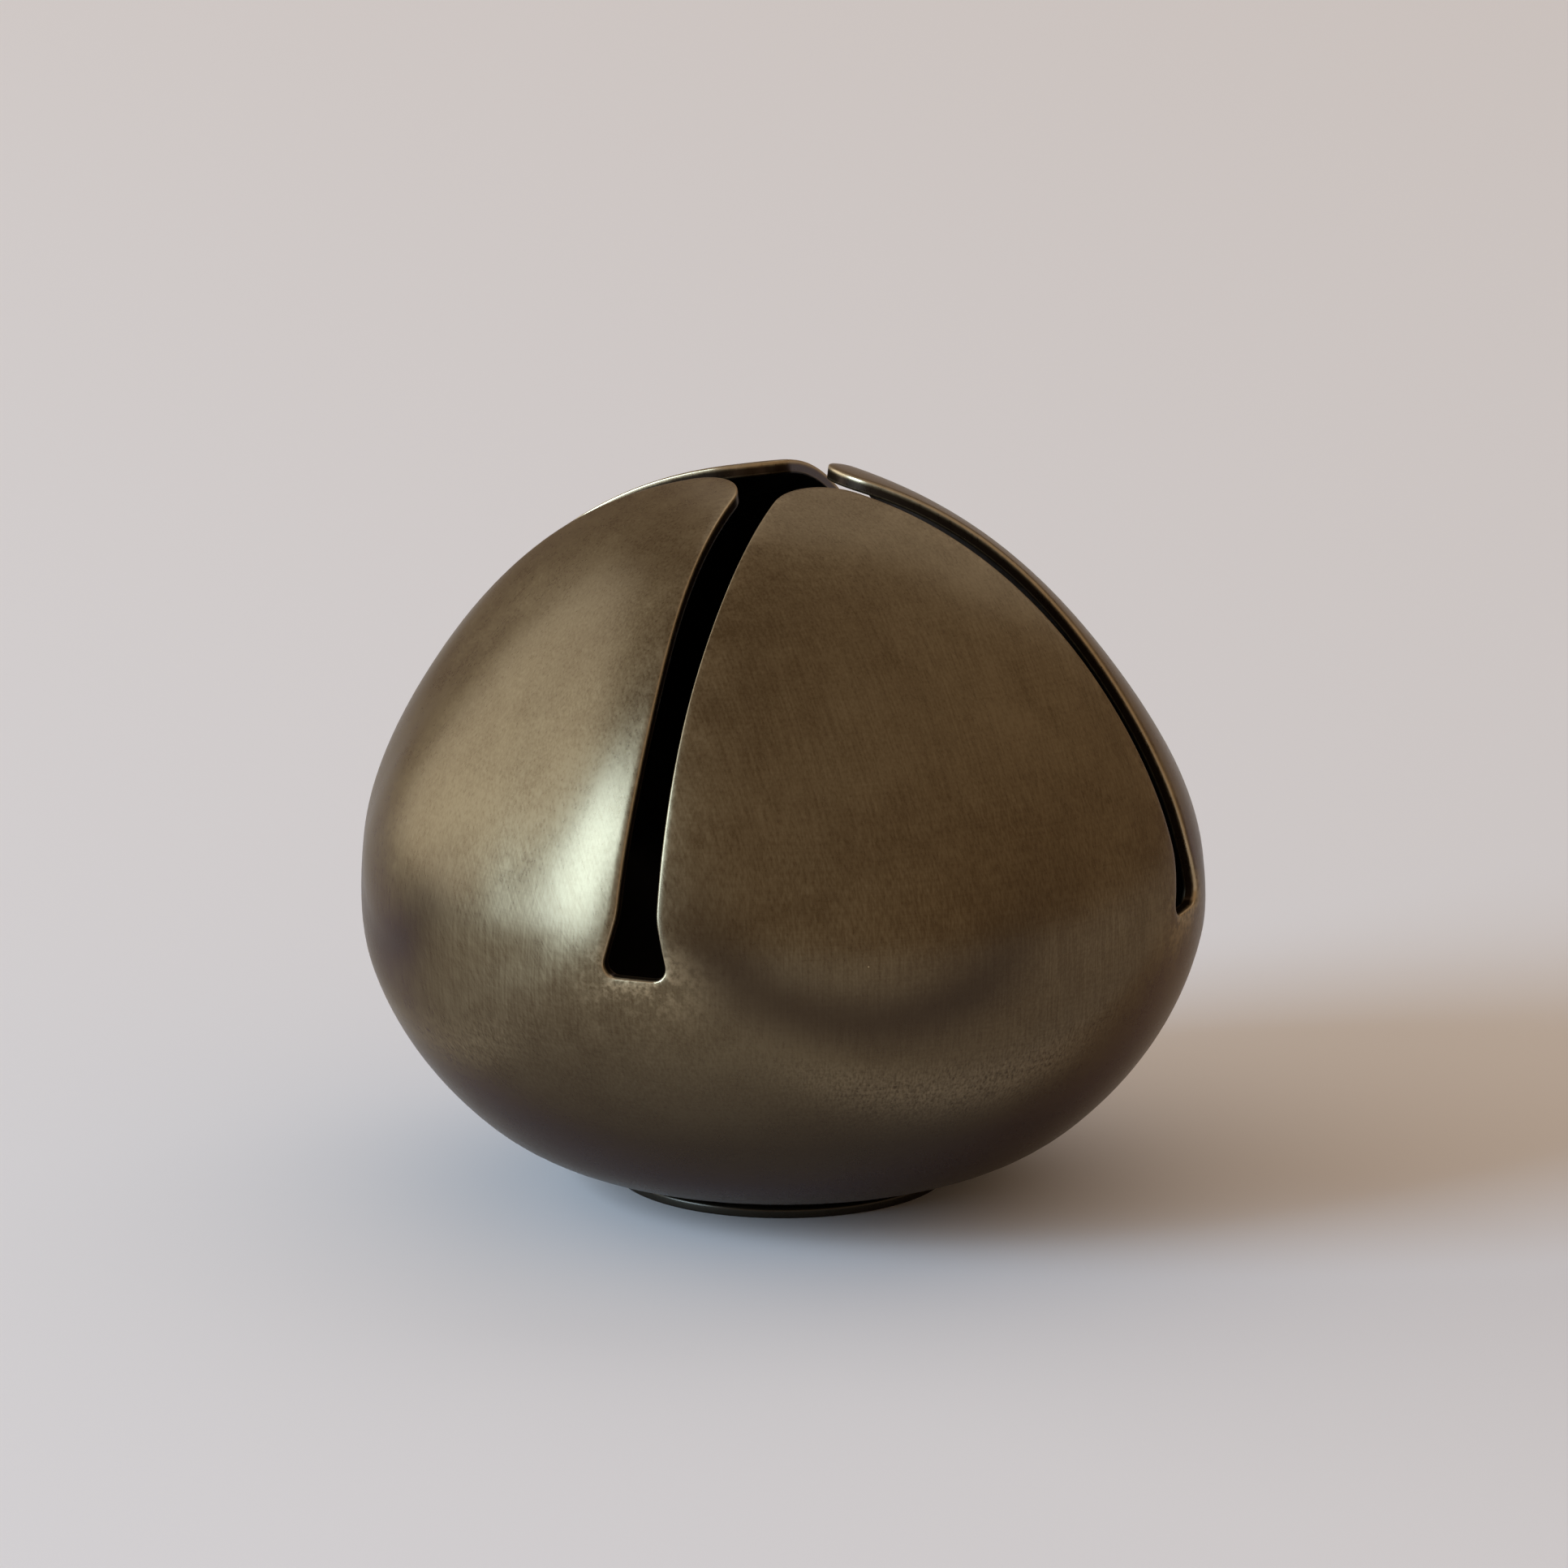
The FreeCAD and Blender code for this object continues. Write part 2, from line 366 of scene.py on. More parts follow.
# %% Lay out the columns
ROLL_STEPS = [0, 0.05, 0.11, 0.18, 0.27, 0.38, 0.52, 0.7, 0.92, 1.2, 1.5, 1.85, 2.25, 2.7]
COLUMN_STEPS = (0.55, 1.1)
ABOVE_FLARE = 6


def spread(start, stop, first_step, last_step):
    """Places from start to stop whose steps grow evenly from the first step to the last."""
    count = max(2, round((stop - start) * 2 / (first_step + last_step)))
    share = np.linspace(0, 1, count + 1)
    grown = share * (first_step + share * (last_step - first_step) / 2)
    return start + (stop - start) * grown / grown[-1]


def petal_angle(share, along):
    """Angle of a column at a place up the sheet."""
    edge = edge_angle(along)
    return edge + (QUARTER - 2 * edge) * share


belt_edge = float(edge_angle(np.array(end_place + ABOVE_FLARE)) * BELL["Belt radius"])
petal_half = BELL["Belt radius"] * QUARTER / 2 - belt_edge
half_columns = np.concatenate([ROLL_STEPS,
                               spread(ROLL_STEPS[-1], petal_half, *COLUMN_STEPS)[1:]])
half_shares = half_columns / petal_half / 2
petal_shares = np.concatenate([half_shares, 1 - half_shares[-2::-1]])
print("columns across a petal:", len(petal_shares))

# %% [markdown]
# ## Round tips and rows
#
# Seen from above, each petal ends in a round tip. Every column has to stop where it meets
# that circle, and the outermost two stop where the circle takes over from the slot's straight
# edge. The rows then share out the way from the slot's end to the tip. They crowd together
# at the flare's round corners and at the tip, as the columns do at the sides.

# %% Round the tips and lay out the rows
PAST_TIPS = 44.0
CORNER_TURNS = np.radians([0, 12, 24, 37, 50, 63, 76, 90])
ROW_STEPS = (0.25, 0.9)
TIP_ROWS = 10


def past_tip(along, share):
    """How far a blank point lies outside the circle that rounds the petal's tip."""
    reach, angle, _ = pressed(petal_angle(share, along) * BELL["Belt radius"], along, 0.0, BELL)
    return (np.hypot(reach * np.cos(angle) - TIP_REACH, reach * np.sin(angle) - TIP_REACH)
            - TIP_RADIUS)


def before_tip(along):
    """How far the slot's edge has come past the place where the tip's circle begins."""
    angle = edge_angle(along)
    return TIP_REACH - pressed(angle * BELL["Belt radius"], along, 0.0, BELL)[0] * np.cos(angle)


tip_start = float(solved(before_tip, mouth_place, PAST_TIPS))
inner_shares = petal_shares[1:-1]
tip_places = solved(lambda along: past_tip(along, inner_shares),
                    np.full_like(inner_shares, mouth_place),
                    np.full_like(inner_shares, PAST_TIPS))
tops = np.concatenate([[tip_start], tip_places, [tip_start]])
corner_rows = FLARE_CORNER * (1 - np.cos(CORNER_TURNS))
petal_height = tip_start - end_place
tip_rows = petal_height - np.array(ROLL_STEPS[:TIP_ROWS])[::-1]
rows = np.concatenate([corner_rows, spread(corner_rows[-1], tip_rows[0], *ROW_STEPS)[1:-1],
                       tip_rows]) / petal_height
print("petal grid:", len(rows), "rows by", len(petal_shares), "columns")

# %% [markdown]
# ## The two grids of the blank
#
# The petal is one grid and the bowl below it another, with extra columns under the slot's end.
# A single grid would have to squeeze through the slot. The bowl's columns start where the
# petal's columns end, and settle into even steps further down, so the faces stay regular.

# %% Lay out the petal grid and the bowl grid
UNDER_COLUMNS = 9
HOLE_RADIUS = 2.05
BOWL_STEPS = (0.5, 1.3)
SETTLE_RUN = 30

petal_along = end_place + rows[:, None] * (tops - end_place)[None, :]
petal_angles = np.stack([petal_angle(share, petal_along[:, column])
                         for column, share in enumerate(petal_shares)], axis=1)

blend_run = (BELL["Blend angle"] + QUARTER) * BELL["Floor blend"]
hole_place = BELL["Blend place"] - blend_run - (BELL["Blend centre"] - HOLE_RADIUS)
under = np.linspace(0, float(petal_angles[0, 0]), UNDER_COLUMNS + 1)
bowl_angles_top = np.concatenate([under[:-1], petal_angles[0], QUARTER - under[:-1][::-1]])
even = np.linspace(0, QUARTER, len(bowl_angles_top))
bowl_depths = np.concatenate([ROLL_STEPS,
                              spread(ROLL_STEPS[-1], end_place - hole_place, *BOWL_STEPS)[1:]])
bowl_along = np.repeat((end_place - bowl_depths)[:, None], len(even), axis=1)
settle = np.clip(bowl_depths / SETTLE_RUN, 0, 1)[:, None]
bowl_angles = bowl_angles_top[None, :] * (1 - settle) + even[None, :] * settle
print("bowl grid:", len(bowl_depths), "rows by", len(even), "columns")

# %% [markdown]
# ## The worn cut edge
#
# Cutting and bending leave a thin edge that hands have worn round, and the sheet rolls over
# a little beside it. A Bevel modifier would round it evenly, but not roll it. Here every
# point knows its real distance from the nearest cut edge, and that distance says how deep it
# lies. The same distance later tells the finish where the brass is rubbed bright.

# %% Measure the way to the cut edge
EDGE_ROUND = 0.14
ROLL_OVER = 0.06
ROLL_REACH = 0.3


def where(angles, along, depth):
    """Real place in mm of blank points."""
    reach, angle, level = pressed(angles * BELL["Belt radius"], along, depth, BELL)
    return np.stack([reach * np.cos(angle), reach * np.sin(angle), level + 0 * reach], axis=-1)


first_petal_column = UNDER_COLUMNS
last_petal_column = UNDER_COLUMNS + len(petal_shares) - 1
rim_parts = [(grid_angles[cut], grid_along[cut]) for grid_angles, grid_along, cut in (
    (bowl_angles, bowl_along, np.s_[0, :first_petal_column]),
    (petal_angles, petal_along, np.s_[:-1, 0]),
    (petal_angles, petal_along, np.s_[-1, :]),
    (petal_angles, petal_along, np.s_[-2::-1, -1]),
    (bowl_angles, bowl_along, np.s_[0, last_petal_column + 1:]))]
rim_angles, rim_along = [np.concatenate(part) for part in zip(*rim_parts)]
rim_line = where(rim_angles, rim_along, 0.0)


def distance_to_rim(points):
    """Shortest way in mm from points to the cut edge."""
    starts, steps = rim_line[:-1], rim_line[1:] - rim_line[:-1]
    best = np.full(len(points), np.inf)
    for start, step in zip(starts, steps):
        offset = points - start
        share = np.clip(offset @ step / (step @ step), 0, 1)
        best = np.minimum(best, np.linalg.norm(offset - share[:, None] * step, axis=1))
    return best


def roll_depth(distance):
    """How deep the outside lies at a distance from the cut edge."""
    inside_round = np.clip(EDGE_ROUND - distance, 0, EDGE_ROUND)
    corner = EDGE_ROUND - np.sqrt(EDGE_ROUND ** 2 - inside_round ** 2)
    return corner + ROLL_OVER * np.exp(-(distance / ROLL_REACH) ** 2)


print("points along a quarter's cut edge:", len(rim_line))

# %% [markdown]
# ## The soft panel and its fold
#
# The middle of each petal is a little flatter than the cup it was drawn as, because the tool
# that bent it pressed there. A soft fold curves round its foot like a smile. It could be
# sculpted, but four smooth shoulders multiplied together give the same form from a handful
# of sizes: one at each side, one at the fold and one towards the tip.

# %% Press the panel in
PANEL_DEPTH = 0.55
FOLD_LOW, FOLD_RISE, FOLD_SPREAD = 14.3, 4.5, math.radians(32)
FOLD_SHOULDER, SIDE_SHOULDER, TIP_SHOULDER = 5.5, 9.0, 20.0
SIDE_MARGIN = 2.5


def smooth_step(value):
    """Goes from zero to one, level at both ends."""
    share = np.clip(value, 0, 1)
    return share * share * (3 - 2 * share)


def above_fold(angles, level):
    """How far a place lies above the soft fold that curves round the foot of a petal."""
    off_middle = (angles - QUARTER / 2) / FOLD_SPREAD
    return level - FOLD_LOW - FOLD_RISE * off_middle ** 2


def panel_depth(angles, along):
    """How far the flat panel in a petal's middle is pushed in."""
    reach, _, level = pressed(angles * BELL["Belt radius"], along, 0.0, BELL)
    from_left = reach * angles - SIDE_MARGIN
    from_right = reach * (QUARTER - angles) - SIDE_MARGIN
    return PANEL_DEPTH * (smooth_step(from_left / SIDE_SHOULDER)
                          * smooth_step(from_right / SIDE_SHOULDER)
                          * smooth_step(above_fold(angles, level) / FOLD_SHOULDER)
                          * smooth_step((mouth_place - along) / TIP_SHOULDER))


print("deepest place of the panel in mm:", round(float(panel_depth(petal_angles,
                                                                   petal_along).max()), 2))

# %% [markdown]
# ## Painted light and shade along the fold
#
# The ridge of the fold gets a painted highlight, and the hollow above it a painted shade.
# Noise alone can't follow a form, and painting by hand can't follow a change of size. So each
# point keeps one number: above zero for the painted highlight on the ridge and below zero for
# the painted shade in the hollow, which lies along the lower half of an oval round the panel.

# %% Mark the fold's ridge and hollow
RIDGE_HALF_ANGLE, RIDGE_BELOW, RIDGE_SOFT = math.radians(24), 0.8, 1.9
HOLLOW_MIDDLE, HOLLOW_HALF_ANGLE = math.radians(33), math.radians(26)
HOLLOW_LEVEL, HOLLOW_DROP, HOLLOW_SOFT = 30.0, 10.8, 0.25
HOLLOW_TOP, HOLLOW_FADE = 32.0, 9.0
SHADE_WEAKER_FROM, SHADE_WEAKER_OVER, SHADE_WEAKER_BY = math.radians(46), math.radians(14), 0.6


def fold_highlight_and_shade(angles, along):
    """Above zero for a painted highlight on the fold's ridge, below zero for a painted shade in
    its hollow.
    """
    level = pressed(angles * BELL["Belt radius"], along, 0.0, BELL)[2]
    off_middle = np.abs(angles - QUARTER / 2)
    off_ridge = above_fold(angles, level) + RIDGE_BELOW
    # light: a painted highlight along the fold's ridge
    light = (np.exp(-(off_middle / RIDGE_HALF_ANGLE) ** 4)
             * np.exp(-(off_ridge / RIDGE_SOFT) ** 2))
    # dark: a painted shade in the hollow, along the lower half of an oval
    oval = np.hypot((angles - HOLLOW_MIDDLE) / HOLLOW_HALF_ANGLE,
                    (level - HOLLOW_LEVEL) / HOLLOW_DROP)
    # the painted shade is weaker towards the petal's far side
    kept = 1 - SHADE_WEAKER_BY * smooth_step((angles - SHADE_WEAKER_FROM) / SHADE_WEAKER_OVER)
    dark = (np.exp(-((oval - 1) / HOLLOW_SOFT) ** 2)
            * smooth_step((HOLLOW_TOP - level) / HOLLOW_FADE) * kept)
    return light - dark


bowl_ridge = fold_highlight_and_shade(bowl_angles, bowl_along).max()
petal_hollow = fold_highlight_and_shade(petal_angles, petal_along).min()
print("marks on ridge and in hollow:", round(float(bowl_ridge), 2), round(float(petal_hollow), 2))

# %% [markdown]
# ## Points and faces
#
# The blank is one mesh, and two small helpers build it. One adds points and keeps what each
# point has to remember for the finish. The other joins a grid of points with four-sided
# faces, turned so that they face away from the sheet.

# %% Add points and faces to the blank
blank_points = []
blank_faces = []
blank_marks = {"rim_distance": [], "inside": [], "fold": []}


def add_points(angles, along, depth, distance, inside):
    """Add blank points and return their numbers in the same arrangement."""
    first = len(blank_points)
    for values in zip(np.ravel(angles), np.ravel(along), np.ravel(depth)):
        blank_points.append((values[0] * BELL["Belt radius"], values[1], -values[2]))
    blank_marks["rim_distance"].extend(np.ravel(distance))
    blank_marks["inside"].extend([inside] * np.size(angles))
    blank_marks["fold"].extend(np.ravel(fold_highlight_and_shade(np.asarray(angles), np.asarray(along))))
    return np.arange(first, len(blank_points)).reshape(np.shape(angles))


def add_grid(numbers, outwards):
    """Join a grid of point numbers with four-sided faces."""
    for low, high in zip(numbers[:-1], numbers[1:]):
        for left in range(len(low) - 1):
            face = (low[left], low[left + 1], high[left + 1], high[left])
            blank_faces.append(face if outwards else face[::-1])


print("marks kept on each point:", sorted(blank_marks))

# %% [markdown]
# ## The two skins of the sheet
#
# A Solidify modifier would thicken the sheet evenly, but the real outside rolls over at the
# edges and the inside doesn't. So the same two grids are laid twice: once outside with the
# roll, and once a full sheet deeper. Points of the inside count as far from every cut edge,
# because nobody rubs them bright.

# %% Lay the outside and the inside
FAR_FROM_RIM = 30.0


def add_skin(inside):
    """One skin of the quarter: petal grid, bowl grid and the rim's point numbers."""
    skins = []
    for angles, along in ((petal_angles, petal_along), (bowl_angles, bowl_along)):
        distance = distance_to_rim(where(angles, along, 0.0).reshape(-1, 3))
        distance = distance.reshape(angles.shape)
        depth = np.full_like(distance, SHEET) if inside else roll_depth(distance)
        kept = np.full_like(distance, FAR_FROM_RIM) if inside else distance
        skins.append((angles, along, depth + panel_depth(angles, along), kept))
    petal = add_points(*skins[0], inside)
    top_left = add_points(*[values[0, :first_petal_column] for values in skins[1]], inside)
    top_right = add_points(*[values[0, last_petal_column + 1:] for values in skins[1]], inside)
    top = np.concatenate([top_left, petal[0], top_right])
    bowl = np.vstack([top, add_points(*[values[1:] for values in skins[1]], inside)])
    add_grid(petal, not inside)
    add_grid(bowl[::-1], not inside)
    line = np.concatenate([top_left, petal[:-1, 0], petal[-1], petal[-2::-1, -1], top_right])
    return line, bowl[-1]


outer_rim, outer_hole = add_skin(0)
inner_rim, inner_hole = add_skin(1)
print("both skins:", len(blank_points), "points")

# %% [markdown]
# ## The cut faces
#
# Between the two skins the sheet shows its thickness: along the slots and tips, and in the
# hole for the rivet. Strips of faces close both, so that the blank is solid. On the cut face
# the distance to the rim counts below zero, which tells the finish that this is raw cut metal
# and not the polished outside.

# %% Close the cut edges and make the blank
CUT_ROWS = 6


def add_cut(outer, inner, angles, along, depths, start):
    """Close a cut edge between the two skins. Its distance to the rim counts below zero."""
    lines = [outer]
    for depth in depths:
        lines.append(add_points(angles, along, np.full_like(angles, depth),
                                np.full_like(angles, start - depth), 0))
    lines.append(inner)
    add_grid(np.array(lines), True)


rim_depth = EDGE_ROUND + ROLL_OVER
cut_depths = np.linspace(rim_depth, SHEET, CUT_ROWS)[1:-1]
add_cut(outer_rim, inner_rim, rim_angles, rim_along, cut_depths, rim_depth)
add_cut(inner_hole, outer_hole, bowl_angles[-1], bowl_along[-1], [SHEET / 2], FAR_FROM_RIM)
blank = bpy.data.meshes.new("bell_blank")
blank.from_pydata(blank_points, [], blank_faces)
for mark, values in blank_marks.items():
    blank.attributes.new(mark, "FLOAT", "POINT").data.foreach_set("value", values)
print("quarter blank:", len(blank_points), "points,", len(blank_faces), "faces")

# %% [markdown]
# ## The press as a node tree
#
# One node tree does what the press does, and the first thing it needs is the sheet and the
# sizes. Each size is an input with a name, so that the same tree also presses a bell of
# another size. The first part of the tree moves every point of the flat quarter to the place
# that the bell's rule gives. The rule is the function that was written above, fed with flows.

# %% Press one quarter
PETALS = 4


def press_inputs(tree):
    """Give the tree its named inputs and return the node that hands them out."""
    inputs = [("Blank", "NodeSocketGeometry", None)]
    inputs += [(name, "NodeSocketFloat", value) for name, value in BELL.items()]
    inputs += [("Petals", "NodeSocketInt", PETALS), ("Finish", "NodeSocketMaterial", None)]
    for name, kind, value in inputs:
        socket = tree.interface.new_socket(name, in_out="INPUT", socket_type=kind)
        if value is not None:
            socket.default_value = value
    tree.interface.new_socket("Bell", in_out="OUTPUT", socket_type="NodeSocketGeometry")
    return tree.nodes.new("NodeGroupInput")


def press_quarter(tree, given):
    """Nodes that move every point of the blank to its place in the bell."""
    nodes, link = tree.nodes, tree.links.new
    bell = {name: Flow(tree, given.outputs[name]) for name in BELL}
    position = nodes.new("GeometryNodeInputPosition")
    split = nodes.new("ShaderNodeSeparateXYZ")
    link(position.outputs[0], split.inputs[0])
    around, along, depth = [Flow(tree, output) for output in split.outputs]
    reach, angle, level = pressed(around, along, -depth, bell)
    joined = nodes.new("ShaderNodeCombineXYZ")
    for place, value in enumerate((reach * cosine(angle) * MM, reach * sine(angle) * MM,
                                   level * MM)):
        link(value.socket, joined.inputs[place])
    press = nodes.new("GeometryNodeSetPosition")
    link(given.outputs["Blank"], press.inputs["Geometry"])
    link(joined.outputs[0], press.inputs["Position"])
    return press.outputs[0]


print("sizes that the press takes:", len(BELL))

# %% [markdown]
# ## Four quarters make a bell
#
# The second part of the tree sets four pressed quarters round the axis and welds them. An
# Array modifier could repeat the quarter too, but the tree keeps the rule, the repeat and the
# finish in one place. It makes the instances real at its end, because the export drops them.

# %% Set the quarters round and weld them
WELD_DISTANCE = 0.002


def set_round(tree, given, quarter):
    """Nodes that set the quarters round the axis, each turned by its share of a full turn."""
    nodes, link = tree.nodes, tree.links.new
    stations = nodes.new("GeometryNodeMeshLine")
    link(given.outputs["Petals"], stations.inputs["Count"])
    stations.inputs["Offset"].default_value = (0, 0, 0)
    number = nodes.new("GeometryNodeInputIndex")
    turn = Flow(tree, number.outputs[0]) * (4 * QUARTER) / Flow(tree, given.outputs["Petals"])
    turning = nodes.new("ShaderNodeCombineXYZ")
    link(turn.socket, turning.inputs["Z"])
    repeat = nodes.new("GeometryNodeInstanceOnPoints")
    link(stations.outputs["Mesh"], repeat.inputs["Points"])
    link(quarter, repeat.inputs["Instance"])
    link(turning.outputs[0], repeat.inputs["Rotation"])
    return repeat.outputs[0]


def press_tree():
    """Node tree that presses the blank and makes the whole bell of it."""
    tree = bpy.data.node_groups.new("press_bell", "GeometryNodeTree")
    nodes, link = tree.nodes, tree.links.new
    given = press_inputs(tree)
    quarters = set_round(tree, given, press_quarter(tree, given))
    real = nodes.new("GeometryNodeRealizeInstances")
    weld = nodes.new("GeometryNodeMergeByDistance")
    weld.inputs["Distance"].default_value = WELD_DISTANCE * MM
    smooth = nodes.new("GeometryNodeSetShadeSmooth")
    paint = nodes.new("GeometryNodeSetMaterial")
    end = nodes.new("NodeGroupOutput")
    link(quarters, real.inputs[0])
    link(real.outputs[0], weld.inputs["Geometry"])
    link(weld.outputs[0], smooth.inputs[0])
    link(smooth.outputs[0], paint.inputs["Geometry"])
    link(given.outputs["Finish"], paint.inputs["Material"])
    link(paint.outputs[0], end.inputs[0])
    return tree


pressing = press_tree()
print("nodes in the press:", len(pressing.nodes))

# %% [markdown]
# ## Building blocks of a finish
#
# The finishes are made of noise and of marks on the mesh, because a picture of real brass
# would show its seams and can't be turned to another light. These helpers each add a few
# nodes: a place in millimetres, a cloud, a mark read back, a mix of two colours and a relief.
# All noise reads the object's own coordinates, so it stays on the piece when the piece moves.

# %% Helpers for finishes
PER_METRE = 1000


def finish_tree(name):
    """A new finish with its shader and its node tree."""
    finish = bpy.data.materials.new(name)
    finish.use_nodes = True
    tree = finish.node_tree
    return finish, tree, tree.nodes["Principled BSDF"]


def object_place(tree, scale):
    """Object coordinates in millimetres, stretched by a scale along each axis."""
    coordinates = tree.nodes.new("ShaderNodeTexCoord")
    mapping = tree.nodes.new("ShaderNodeMapping")
    mapping.inputs["Scale"].default_value = [PER_METRE * value for value in scale]
    tree.links.new(coordinates.outputs["Object"], mapping.inputs["Vector"])
    return mapping.outputs[0]


def noise_at(tree, place, detail, roughness):
    """Noise around one half, read at a place."""
    noise = tree.nodes.new("ShaderNodeTexNoise")
    noise.inputs["Scale"].default_value = 1.0
    noise.inputs["Detail"].default_value = detail
    noise.inputs["Roughness"].default_value = roughness
    tree.links.new(place, noise.inputs["Vector"])
    return Flow(tree, noise.outputs["Fac"])


def cloud(tree, scale, detail=3.0, roughness=0.5):
    """Noise with features of about one over the scale in mm."""
    return noise_at(tree, object_place(tree, scale), detail, roughness)


def height_in_mm(tree):
    """Level of the surface point above the floor."""
    split = tree.nodes.new("ShaderNodeSeparateXYZ")
    tree.links.new(object_place(tree, (1, 1, 1)), split.inputs[0])
    return Flow(tree, split.outputs["Z"])


def stored(tree, name):
    """A number that is kept on the mesh's points."""
    reader = tree.nodes.new("ShaderNodeAttribute")
    reader.attribute_name = name
    return Flow(tree, reader.outputs["Fac"])


print("noise scales are counted per millimetre, so", PER_METRE, "to a metre")

# %% [markdown]
# ## Mixing colours and raising relief
#
# A finish is built up as a painter would: a base colour first, then one thin layer after
# another, each with its own share from zero to one. The relief is far finer than the mesh,
# so it is a Bump node and not moved points.

# %% Helpers that mix and raise
def clipped(value):
    """Keep a flow between zero and one."""
    return smaller(larger(value, 0.0), 1.0)


def swing(value, amount):
    """Turn noise around one half into a push to both sides of zero."""
    return (value - 0.5) * amount


def tint(tree, share, first, second):
    """Colour that goes from the first to the second with a share from zero to one."""
    mix = tree.nodes.new("ShaderNodeMix")
    mix.data_type = "RGBA"
    for place, colour in (("A", first), ("B", second)):
        socket = [item for item in mix.inputs if item.name == place and item.type == "RGBA"][0]
        if hasattr(colour, "links"):
            tree.links.new(colour, socket)
        else:
            socket.default_value = (*colour, 1)
    tree.links.new(share.socket, mix.inputs["Factor"])
    return [item for item in mix.outputs if item.type == "RGBA"][0]


def raise_surface(tree, shader, height, strength, distance):
    """Feed a height to the shader as fine relief."""
    bump = tree.nodes.new("ShaderNodeBump")
    bump.inputs["Strength"].default_value = strength
    bump.inputs["Distance"].default_value = distance * MM
    tree.links.new(height.socket, bump.inputs["Height"])
    tree.links.new(bump.outputs[0], shader.inputs["Normal"])


print("half way between the ends, swing gives", swing(0.5, 2.0))

# %% [markdown]
# ## Rubbed lines and specks
#
# Up close the bell shows fine lines from hand rubbing, most of them upright, some slanted and
# a few level, and here and there a speck of bare metal. Noise that is drawn out along one
# direction gives such lines without drawing any of them. The specks sit in the cells of a
# Voronoi pattern, and only some of the cells get one, so they never line up.

# %% Rub lines and scatter specks
UPRIGHT, LEVEL, SLANTED = (6.0, 6.0, 0.20), (0.25, 0.25, 7.0), (5.5, 5.5, 0.22)
UPRIGHT_PART, LEVEL_PART, SLANTED_PART = 0.45, 0.15, 0.40
SLANT = 0.5
LINE_DETAIL, LINE_ROUGHNESS = 1.0, 0.5
SPECK_RARITY = 0.7


def hatch(tree, scale, turn=0.0):
    """Fine rubbed lines: noise that is drawn out along one direction."""
    coordinates = tree.nodes.new("ShaderNodeTexCoord")
    turned = tree.nodes.new("ShaderNodeMapping")
    turned.inputs["Rotation"].default_value = (turn, turn, 0)
    stretched = tree.nodes.new("ShaderNodeMapping")
    stretched.inputs["Scale"].default_value = [PER_METRE * value for value in scale]
    tree.links.new(coordinates.outputs["Object"], turned.inputs["Vector"])
    tree.links.new(turned.outputs[0], stretched.inputs["Vector"])
    return noise_at(tree, stretched.outputs[0], LINE_DETAIL, LINE_ROUGHNESS)


def rubbed_grain(tree):
    """Upright, level and slanted lines laid over each other."""
    return (hatch(tree, UPRIGHT) * UPRIGHT_PART + hatch(tree, LEVEL) * LEVEL_PART
            + hatch(tree, SLANTED, SLANT) * SLANTED_PART)


def specks(tree, spacing, radius):
    """Tiny bright dots, one in some cells of a loose grid."""
    cells = tree.nodes.new("ShaderNodeTexVoronoi")
    cells.inputs["Scale"].default_value = 1.0
    tree.links.new(object_place(tree, (1 / spacing,) * 3), cells.inputs["Vector"])
    split = tree.nodes.new("ShaderNodeSeparateColor")
    tree.links.new(cells.outputs["Color"], split.inputs[0])
    chosen = exceeds(Flow(tree, split.outputs[0]), SPECK_RARITY)
    near = exceeds(radius / spacing, Flow(tree, cells.outputs["Distance"]))
    return chosen * near


print("share of cells with a speck:", round(1 - SPECK_RARITY, 1))

# %% [markdown]
# ## Where the aged brass is worn
#
# Three things lay the brass bare: a thin line along each edge that catches every touch, a
# broken halo round the edges that is strongest below the slots, where things are pushed in,
# and a few long scratches. All three come from the distance to the cut edge and from noise.
# The halo is broken up by the mottle, because real wear never fades evenly.

# %% Wear the edges
NATURAL = 2.718
EDGE_LINE = 0.09
HALO_REACH = 1.3
BELOW_SLOT, BELOW_SLOT_SOFT = 25.0, 5.0
HALO_ALWAYS, HALO_BELOW = 0.15, 0.85
HALO_CONTRAST, HALO_FILL = 4.0, 0.3
SCRATCH, SCRATCH_SLANT = (5.0, 5.0, 0.10), 0.35
SCRATCH_FROM, SCRATCH_CONTRAST, SCRATCH_WEAR = 0.80, 8.0, 0.3
LINE_LEAST, LINE_FINE = 0.6, 0.5


def edge_line(rim, fine):
    """Share of the bright line along a cut edge."""
    line = power(NATURAL, -(rim * rim / (EDGE_LINE * EDGE_LINE)))
    return clipped(line * (LINE_LEAST + LINE_FINE * fine))


def rubbed_bare(tree, rim, mottle, fine):
    """Share of bare brass from the halo round the edges and from scratches."""
    below_slot = clipped((BELOW_SLOT - height_in_mm(tree)) / BELOW_SLOT_SOFT)
    halo = (power(NATURAL, -(larger(rim, 0.0) / HALO_REACH))
            * clipped((mottle + fine - 1.0) * HALO_CONTRAST + HALO_FILL)
            * (HALO_ALWAYS + HALO_BELOW * below_slot))
    scratch = clipped((hatch(tree, SCRATCH, SCRATCH_SLANT) - SCRATCH_FROM) * SCRATCH_CONTRAST)
    return clipped(halo + scratch * SCRATCH_WEAR)


print("mm at which the halo has fallen to one in", NATURAL, "parts:", HALO_REACH)
